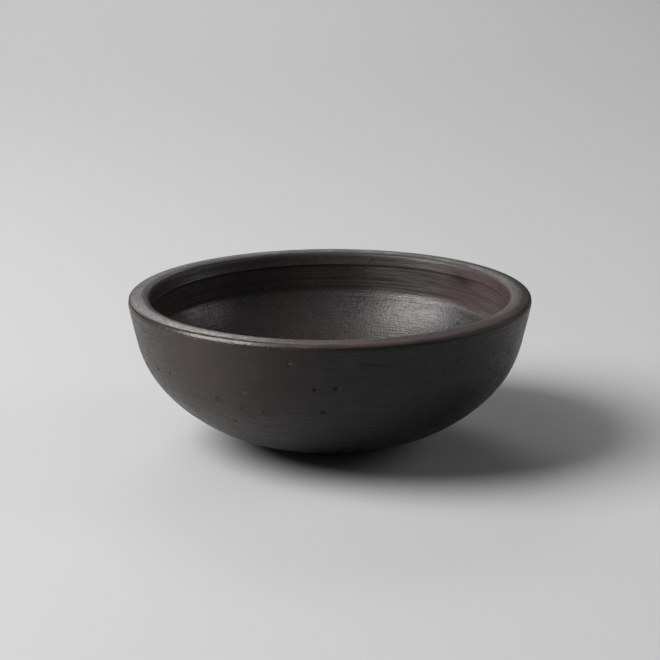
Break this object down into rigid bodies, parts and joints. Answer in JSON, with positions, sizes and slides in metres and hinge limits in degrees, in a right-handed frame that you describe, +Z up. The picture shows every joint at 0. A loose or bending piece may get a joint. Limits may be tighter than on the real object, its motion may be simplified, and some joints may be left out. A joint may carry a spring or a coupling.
{
  "type": "black clay bowl",
  "caption": "Open round-bottomed bowl of burnished dark fired clay, with a thick rounded rim, for serving, holding or display.",
  "frame": {"origin": "centre of the small flat that the bowl rests on", "axes": "+Z up along the bowl's axis of symmetry, out of its mouth"},
  "size_m": [0.25, 0.25, 0.0946],
  "materials": {
    "base_dish": "burnished, satin",
    "lower_wall_coil": "burnished, satin",
    "upper_wall_coil": "burnished, satin",
    "rim_coil": "burnished, satin, rubbed"
  },
  "bodies": {
    "root": {"base_dish": "base_dish", "lower_wall_coil": "lower_wall_coil", "upper_wall_coil": "upper_wall_coil", "rim_coil": "rim_coil"}
  },
  "joints": []
}
